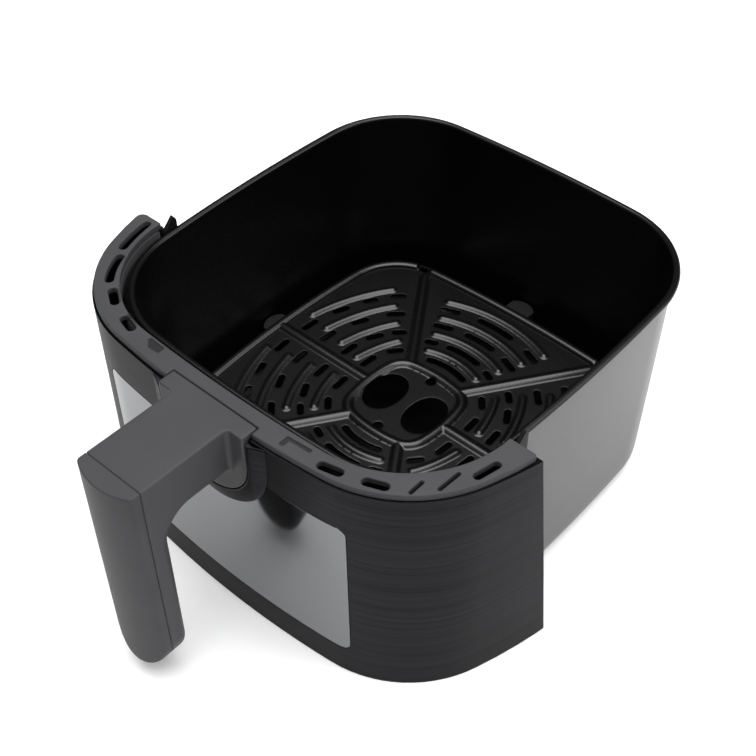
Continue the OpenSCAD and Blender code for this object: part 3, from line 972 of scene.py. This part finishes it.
class FRYER_OT_crisper_plate(bpy.types.Operator):
    """Builds the pressed crisper plate with its ribs, slots and finger holes"""

    bl_idname = "fryer.crisper_plate"
    bl_label = "Crisper plate"

    def execute(self, context):
        s, finish = context.scene.fryer_plate, context.scene.fryer_finish
        sheet, bead, grid = s.sheet / MM, s.bead / MM, s.grid / MM
        half = PLATE_HIGH.x / MM
        top = PLATE_HIGH.z / MM
        level = top - bead
        outline = Bowed(half, half, 630, 890, 40)
        hub = Bowed(31.6, 31.6, 90, 90, 16)
        ribs, slots = plate_features(s.slot / MM / 2, bead)

        def room(x, y):
            """Distance from each point to the nearest edge, positive on the sheet."""
            d = outline.inset(x, y) - 1.0
            for slot in slots:
                d = np.minimum(d, slot.distance(x, y) - slot.half)
            for sx in (-1, 1):
                q = (np.abs((x - sx * 14.9) / 11.1) ** 2.2 + np.abs(y / 15.8) ** 2.2) ** (1 / 2.2)
                d = np.minimum(d, (q - 1) * 12.0)
                d = np.minimum(d, np.hypot(x, y - sx * 23.4) - 3.1)
            return d

        def height(x, y):
            h = np.zeros_like(x)
            for rib in ribs:
                h = np.maximum(h, rib.height * dome(rib.distance(x, y) / rib.half))
            ring = np.abs(hub.inset(x, y) - 3.1)
            h = np.maximum(h, bead * 0.95 * dome(ring / 3.4))
            lip = np.clip(1 - room(x, y) / 0.8, 0, 1)
            return level + h - 0.12 * lip**2

        n = int(2 * half / grid) + 3
        axis = (np.arange(n) - (n - 1) / 2) * grid
        gx, gy = np.meshgrid(axis, axis)
        d = room(gx, gy)
        near = np.abs(d) < 0.06 * grid
        d = np.where(near, 0.06 * grid, d)
        points, numbers = [], {}

        def corner(i, j):
            if (i, j) not in numbers:
                numbers[i, j] = len(points)
                points.append((gx[j, i], gy[j, i]))
            return numbers[i, j]

        def crossing(a, b):
            key = (a, b) if a < b else (b, a)
            if key not in numbers:
                (i, j), (k, m) = key
                t = d[j, i] / (d[j, i] - d[m, k])
                numbers[key] = len(points)
                x = gx[j, i] + (gx[m, k] - gx[j, i]) * t
                y = gy[j, i] + (gy[m, k] - gy[j, i]) * t
                points.append((x, y))
            return numbers[key]

        faces = []
        for j in range(n - 1):
            for i in range(n - 1):
                cell = [(i, j), (i + 1, j), (i + 1, j + 1), (i, j + 1)]
                inside = [d[b, a] > 0 for a, b in cell]
                if not any(inside):
                    continue
                if all(inside):
                    faces.append(tuple(corner(*c) for c in cell))
                    continue
                loop = []
                for c in range(4):
                    here, there = cell[c], cell[(c + 1) % 4]
                    if inside[c]:
                        loop.append(corner(*here))
                    if inside[c] != inside[(c + 1) % 4]:
                        loop.append(crossing(here, there))
                if len(loop) >= 3:
                    faces.append(tuple(loop))
        flat = np.array(points)
        z = height(flat[:, 0], flat[:, 1])
        coat = baked_coat("Black PTFE on pressed steel", finish.plate, 0.29, 1.2, 0.008)
        solid, walls = thicken(np.column_stack([flat, z]), faces, sheet)
        piece = make_piece("crisper_sheet", solid, walls, [coat])
        piece.data.set_sharp_from_angle(angle=math.radians(40))

        # Bead and turned-down skirt round the edge, low where the slanting ribs meet it.
        k = 13
        count = 60 * k
        base = outline.ring(0, k)
        turn = np.degrees(np.arctan2(base[:, 1], base[:, 0])) % 360
        lift = np.ones(count)
        for a in SLANTED:
            away = np.abs((turn - a + 180) % 360 - 180) * math.pi / 180 * 120
            lift = np.minimum(lift, np.clip((away - 3.0) / 2.4, 0, 1))
        lift = lift * lift * (3 - 2 * lift)
        w = 2.9
        section = [(0.25, -11.0), (0.0, -10.6), (0.0, -bead - 0.8)]
        half_turn = np.linspace(0, math.pi, 13)
        section += [(w - w * math.cos(a), bead * (math.sin(a) - 1)) for a in half_turn]
        under = -bead - sheet
        section += [(2 * w, under), (2.6, under), (1.6, under - 1.4), (1.5, -10.6), (1.25, -11.0)]
        rows = []
        for e, dz in section:
            z_row = np.where(dz > -bead, level + (dz + bead) * lift, top + dz)
            rows.append(np.column_stack([outline.ring(e, k), z_row]))
        edge_faces = loft_faces(len(rows), count, closed=True)
        edge = make_piece("crisper_edge", np.concatenate(rows), edge_faces, [coat])
        for part in (piece, edge):
            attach(part, "crisper")
        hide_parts("crisper_plate")
        return {"FINISHED"}


class FRYER_OT_bumpers(bpy.types.Operator):
    """Finishes the four silicone bumpers on the plate's edge"""

    bl_idname = "fryer.bumpers"
    bl_label = "Bumpers"

    def execute(self, context):
        rubber = silicone_rubber("Black moulded silicone", context.scene.fryer_finish.silicone)
        for name in ("bumper_front", "bumper_rear", "bumper_left", "bumper_right"):
            finish_cad(name, rubber, bevel=0.9, segments=3)
        return {"FINISHED"}


class FRYER_OT_front(bpy.types.Operator):
    """Finishes the bezel, the brushed front, the frame behind it and the accent plate"""

    bl_idname = "fryer.front"
    bl_label = "Front and bezel"

    def execute(self, context):
        finish = context.scene.fryer_finish
        bezel = moulded_abs("Moulded ABS, charcoal", finish.plastic, 0.55)
        inner = moulded_abs("Moulded glass-filled nylon, black", finish.inner_plastic, 0.5)
        brushed = brushed_steel(
            "Black brushed stainless", finish.brushed_dark, finish.brushed_light, 0.48
        )
        silver = satin_aluminium("Satin anodised aluminium", finish.silver, 0.07)
        # Material for the mark floors: the bezel's ABS with a lower roughness for its polish, at
        # half the bezel's colour. The halved colour is painted shade that darkens the recessed
        # marks.
        darker = [c * 0.5 for c in finish.plastic]
        glossy_painted_shade = moulded_abs("Moulded ABS, glossy, with painted shade", darker, 0.25, grain=1.2, depth=0.003)
        add_bezel(bezel, glossy_painted_shade)
        finish_cad("drawer_frame", inner, bevel=0, dissolve=False)
        finish_cad("catch_left", inner, bevel=0.4)
        finish_cad("catch_right", inner, bevel=0.4)
        finish_cad("front_skin", brushed, bevel=0.25)
        finish_cad("accent_plate", silver, bevel=0.25)
        return {"FINISHED"}


# Where the bezel ends at the sides, its thickness, and the notch that the handle's root fills.
BEZEL_END, BEZEL_THICK, NOTCH_HALF, NOTCH_BACK = -64.5, 4.0, 29.2, -135.5
# Vents: two tips, width and sag.
VENTS = (
    ((-124.7, -67.9), (-118.2, -93.3), 4.8, -0.6),
    ((-114.9, -95.9), (-102.3, -115.1), 4.8, -0.9),
    ((-97.5, -116.5), (-86.0, -123.7), 4.8, 0.0),
    ((-76.8, -127.0), (-64.6, -130.3), 4.8, 0.0),
    ((64.0, -133.5), (77.1, -130.3), 4.8, 0.0),
    ((85.4, -127.7), (97.7, -122.7), 4.8, 0.0),
    ((106.1, -119.4), (106.1, -110.0), 2.0, 0.0),
    ((114.4, -109.6), (115.1, -95.5), 2.0, 0.0),
    ((121.7, -94.0), (124.9, -79.3), 4.2, 0.0),
)
MARKS = (
    ((-55.5, -128.2), (-43.3, -128.9), (-43.3, -132.9), (-50.0, -133.2)),
    (
        (42.5, -130.5), (57.0, -129.2), (57.0, -131.0),
        (45.0, -131.8), (45.0, -136.2), (42.5, -136.2),
    ),
)


def front_arc(outline, inset, low_y):
    """The part of an outline in front of low_y, from its left end to its right end."""
    ring = outline.ring(inset, 8)
    start = int(np.argmin(np.abs(ring[:, 1] - low_y) + (ring[:, 0] > 0) * 1e6))
    ring = np.roll(ring, -start, axis=0)
    part = ring[: int(np.argmax(ring[:, 1] > low_y + 1.0)) or None]
    part = part[part[:, 1] <= low_y]
    return part


def add_bezel(material, glossy_painted_shade):
    """The vented bezel: a flat top with rounded edges, vents and a lip that hangs inside it."""
    low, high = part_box("top_bezel")
    top, low_z = high.z / MM, low.z / MM
    plate_low = top - BEZEL_THICK
    outer = front_arc(FRONT, 1.2, BEZEL_END)
    inner = front_arc(INNER, 0.0, BEZEL_END)
    corners = [(outer[0][0], BEZEL_END, 4.0)]
    corners += [(x, y, 0) for x, y in outer[4:] if x < -NOTCH_HALF]
    edge = float(np.interp(-NOTCH_HALF, outer[:, 0], outer[:, 1]))
    corners += [(-NOTCH_HALF, edge, 0.4), (-NOTCH_HALF, NOTCH_BACK, 0.5)]
    corners += [(NOTCH_HALF, NOTCH_BACK, 0.5), (NOTCH_HALF, edge, 0.4)]
    corners += [(x, y, 0) for x, y in outer[:-3] if x > NOTCH_HALF]
    corners += [(outer[-1][0], BEZEL_END, 1.5), (inner[-1][0], BEZEL_END, 0.8)]
    corners += [(x, y, 0) for x, y in inner[-3:2:-1]]
    corners += [(inner[0][0], BEZEL_END, 0.8)]
    holes = [pill(a, b, w, sag) for a, b, w, sag in VENTS]
    marks = [rounded([(x, y, 0.6) for x, y in m], 3) for m in MARKS]
    meshes = [slab([rounded(corners), *holes, *marks], plate_low, top, 0.8)]
    # The mark floors sit in recesses and take the second material, whose halved colour is painted
    # shade.
    floors = [slab([m], plate_low + 0.3, top - 0.8, 0.05, 0) for m in marks]
    rows = []
    section = [(0.9, plate_low + 0.2), (0.9, plate_low - 0.7), (0.1, plate_low - 0.9)]
    section += [(0.0, plate_low - 1.2), (0.0, low_z + 0.4), (0.3, low_z), (1.3, low_z)]
    section += [(1.6, low_z + 0.3), (1.6, plate_low + 0.2)]
    paths = [front_arc(INNER, -e, BEZEL_END - 0.8) for e, _ in section]
    count = min(len(path) for path in paths)
    for j in range(count):
        rows.append([(*paths[i][min(j, len(paths[i]) - 1)], z) for i, (_, z) in enumerate(section)])
    meshes.append(ring_mesh(rows))
    piece = merge("bezel", meshes, [material, glossy_painted_shade], floors)
    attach(piece, "drawer")
    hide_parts("top_bezel")


ARM_HALF, ARM_TOP, ARM_LOW = 18.7, 147.0, 118.0
GRIP_FRONT, GRIP_BACK, GRIP_SEAM, GRIP_LOW = -208.0, -186.5, -197.5, 13.0
GRIP_BOW, BEND = 35.6, 15.5
ROOT_FACE, ROOT_HALF, ROOT_MID = -146.0, 28.5, 126.8


def skin_at(x):
    """Y of the front's skin at x, near the middle."""
    return FRONT.shift - FRONT.half_d + FRONT.front_bow - np.sqrt(FRONT.front_bow**2 - x**2)


def handle_field(x, y, z):
    """Distance field of arm, grip and root in one."""
    bend = join(ARM_LOW - z, y - GRIP_BACK, BEND)
    sides = np.hypot(x, np.minimum(z - GRIP_LOW - ARM_HALF, 0)) - ARM_HALF
    arm = cut(bend, sides, 4.6)
    bow = np.hypot(x, np.minimum(y - GRIP_FRONT - GRIP_BOW, 0)) - GRIP_BOW
    arm = cut(arm, bow, 1.3)
    root = np.hypot(x, np.minimum(z - ROOT_MID, 0)) - ROOT_HALF
    root = cut(root, ROOT_FACE - y, 1.0)
    whole = join(arm, root, 2.6)
    whole = cut(whole, z - ARM_TOP, 0.7)
    back = np.where(z < 143.0, y - skin_at(x) + 0.05, y + 136.0)
    return np.maximum(whole, back)


def add_handle(body_material, cover_material):
    seam = 0.09

    def body(x, y, z):
        return cut(handle_field(x, y, z), GRIP_SEAM + seam - y, 0.3)

    def cover(x, y, z):
        return cut(handle_field(x, y, z), y - GRIP_SEAM + seam, 0.3)

    points, quads = shell(body, (-30, GRIP_SEAM, GRIP_LOW), (30, -135, ARM_TOP), 0.75)
    piece = make_piece("handle_arm", points, quads, [body_material])
    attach(piece, "drawer")
    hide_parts("handle_body")
    points, quads = shell(cover, (-19, GRIP_FRONT, GRIP_LOW), (19, GRIP_SEAM, ARM_TOP), 0.6)
    piece = make_piece("handle_cover", points, quads, [cover_material])
    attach(piece, "drawer")
    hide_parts("grip_cover")


def add_collar(material):
    """The brushed collar: a slope from the root's gap down to the skin, steepest at its rim."""
    inner, wide, collar_top = 29.1, 9.2, 142.8
    rise = collar_top - ROOT_MID
    steps = np.linspace(0, 1, 9)
    stations = [(inner, ROOT_MID + rise * (1 - t), 1.0, 0.0) for t in steps[:-1]]
    for a in np.linspace(0, -math.pi, 73):
        c, s = math.cos(a), math.sin(a)
        stations.append((inner * c, ROOT_MID + inner * s, c, s))
    stations += [(-inner, ROOT_MID + rise * t, -1.0, 0.0) for t in steps[1:]]
    slope = [(0.0, 0.6), (0.05, 2.9), (0.35, 3.25), (0.9, 3.35), (2.5, 3.2)]
    slope += [(4.5, 2.75), (6.5, 2.15), (8.2, 1.6), (8.9, 1.3), (wide, 0.9)]
    rows = []
    for x, z, dx, dz in stations:
        low_part = min(1.0, max(0.0, (122.0 - (z + wide * dz)) / 14.0))
        row = []
        for out, proud in slope:
            px = x + out * dx
            fade = 1 - (1 - low_part) * (out / wide) ** 1.5 * 0.88
            row.append((px, skin_at(px) - proud * fade, z + out * dz))
        for out in (wide, 0.0):
            px = x + out * dx
            row.append((px, skin_at(px) - 0.03, z + out * dz))
        rows.append(row)
    piece = merge("collar", [ring_mesh(rows)], [material])
    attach(piece, "drawer")
    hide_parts("handle_collar")


class FRYER_OT_handle(bpy.types.Operator):
    """Finishes the handle, its cover and the collar round its root"""

    bl_idname = "fryer.handle"
    bl_label = "Handle"

    def execute(self, context):
        finish = context.scene.fryer_finish
        body = moulded_abs("Moulded ABS, handle", finish.plastic, 0.42)
        cover = moulded_abs("Moulded ABS, grip cover", finish.plastic, 0.5)
        brushed = brushed_steel(
            "Black brushed stainless, collar", finish.brushed_dark, finish.brushed_light, 0.48
        )
        add_handle(body, cover)
        add_collar(brushed)
        return {"FINISHED"}


class FRYER_OT_hardware(bpy.types.Operator):
    """Finishes the brackets and screws that hold front, pan and handle together"""

    bl_idname = "fryer.hardware"
    bl_label = "Brackets and screws"

    def execute(self, context):
        sheet = brushed_steel(
            "Cold-rolled steel sheet",
            linear("#8E9093"),
            linear("#A6A8AA"),
            0.38,
            line=0.5,
            length=30,
        )
        zinc = satin_aluminium("Zinc-plated screw steel", linear("#B4B6B9"), 0.3)
        for name in ("handle_bracket", "pan_bracket_left", "pan_bracket_right"):
            finish_cad(name, sheet, bevel=0.25)
        for name in ("handle_screws", "bezel_screws", "pan_screws"):
            finish_cad(name, zinc, bevel=0.2)
        return {"FINISHED"}


FLOOR_HALF = 3000
# Softboxes: name, place and aim in metres, size in metres, watts.
SOFTBOXES = (
    ("Softbox above", (0.1, -0.1, 1.5), (0, 0, 0), (1.6, 1.5), 41),
    ("Softbox right", (1.4, 0.8, 1.0), (0.1, 0.0, 0.05), (1.0, 1.0), 14),
    ("Softbox left", (-1.4, -0.7, 0.8), (-0.1, -0.1, 0.0), (1.0, 1.0), 0.5),
)
# The camera's place and aim in millimetres, its roll in degrees and its focal length.
EYE, AIM, ROLL, FOCAL_LENGTH = (346.2, -400.3, 583.6), (15.95, -40.1, 99.3), -0.83, 62.4


class FRYER_OT_stage(bpy.types.Operator):
    """Makes the floor, the light and the camera"""

    bl_idname = "fryer.stage"
    bl_label = "Stage"

    def execute(self, context):
        scene = context.scene
        scene.view_settings.view_transform = "Standard"
        r = FLOOR_HALF
        points = [(-r, -r, 0), (r, -r, 0), (r, r, 0), (-r, r, 0)]
        paper, tree, output = start_material("Backlit matte acrylic")
        where = add(tree, "ShaderNodeTexCoord", {}).outputs["Object"]
        grain = add(tree, "ShaderNodeTexNoise", {"Vector": where, "Scale": 3.0})
        tone = add(tree, "ShaderNodeValToRGB", {"Fac": grain.outputs["Fac"]})
        tone.color_ramp.elements[0].color = rgba(linear("#F6F6F6"))
        tone.color_ramp.elements[1].color = rgba(linear("#F9F9F9"))
        skin = add(
            tree,
            "ShaderNodeBsdfPrincipled",
            {
                "Base Color": tone.outputs["Color"],
                "Roughness": 1.0,
                "Specular IOR Level": 0.0,
                "Emission Color": tone.outputs["Color"],
                "Emission Strength": 0.2,
            },
        )
        tree.links.new(skin.outputs["BSDF"], output.inputs["Surface"])
        floor = make_piece("floor", points, [(0, 1, 2, 3)], [paper], smooth=False)

        world = bpy.data.worlds.new("Studio")
        scene.world = world
        world.use_nodes = True
        back = world.node_tree.nodes["Background"]
        back.inputs["Color"].default_value = (1, 1, 1, 1)
        back.inputs["Strength"].default_value = 0.12

        def softbox(name, at, aim, size, power):
            lamp = bpy.data.lights.new(name, "AREA")
            lamp.shape = "RECTANGLE"
            lamp.size, lamp.size_y = size
            lamp.energy = power
            made = bpy.data.objects.new(name, lamp)
            scene.collection.objects.link(made)
            made.location = at
            made.rotation_euler = (Vector(aim) - Vector(at)).to_track_quat("-Z", "Y").to_euler()

        for settings in SOFTBOXES:
            softbox(*settings)

        lens = bpy.data.cameras.new("Camera")
        lens.lens = FOCAL_LENGTH
        lens.sensor_width = 36
        lens.clip_start = 0.01
        camera = bpy.data.objects.new("Camera", lens)
        scene.collection.objects.link(camera)
        eye = Vector(EYE) * MM
        aim = Vector(AIM) * MM
        ahead = (aim - eye).normalized()
        right = ahead.cross(Vector((0, 0, 1))).normalized()
        up = right.cross(ahead)
        roll = math.radians(ROLL)
        x = right * math.cos(roll) + up * math.sin(roll)
        y = up * math.cos(roll) - right * math.sin(roll)
        turn = Matrix((x, y, -ahead)).transposed().to_4x4()
        camera.matrix_world = Matrix.Translation(eye) @ turn
        scene.camera = camera
        return {"FINISHED"}


class FRYER_PT_drawer(bpy.types.Panel):
    """Lists the pieces of the drawer"""

    bl_idname = "FRYER_PT_drawer"
    bl_label = "Fryer Drawer"
    bl_space_type = "VIEW_3D"
    bl_region_type = "UI"
    bl_category = "Fryer Drawer"

    def draw(self, context):
        for operator in STEPS:
            self.layout.operator(operator.bl_idname)
        for name, group in SETTINGS.items():
            box = self.layout.box()
            for prop in group.__annotations__:
                box.prop(getattr(context.scene, name), prop)


STEPS = (
    FRYER_OT_stage,
    FRYER_OT_pan,
    FRYER_OT_crisper_plate,
    FRYER_OT_bumpers,
    FRYER_OT_front,
    FRYER_OT_handle,
    FRYER_OT_hardware,
)
CLASSES = (*SETTINGS.values(), *STEPS, FRYER_PT_drawer)


def register():
    for cls in CLASSES:
        bpy.utils.register_class(cls)
    for name, group in SETTINGS.items():
        setattr(bpy.types.Scene, name, PointerProperty(type=group))


def unregister():
    for name in SETTINGS:
        delattr(bpy.types.Scene, name)
    for cls in reversed(CLASSES):
        bpy.utils.unregister_class(cls)


def main():
    register()
    for operator in STEPS:
        group, name = operator.bl_idname.split(".")
        getattr(getattr(bpy.ops, group), name)()


if __name__ == "__main__":
    main()
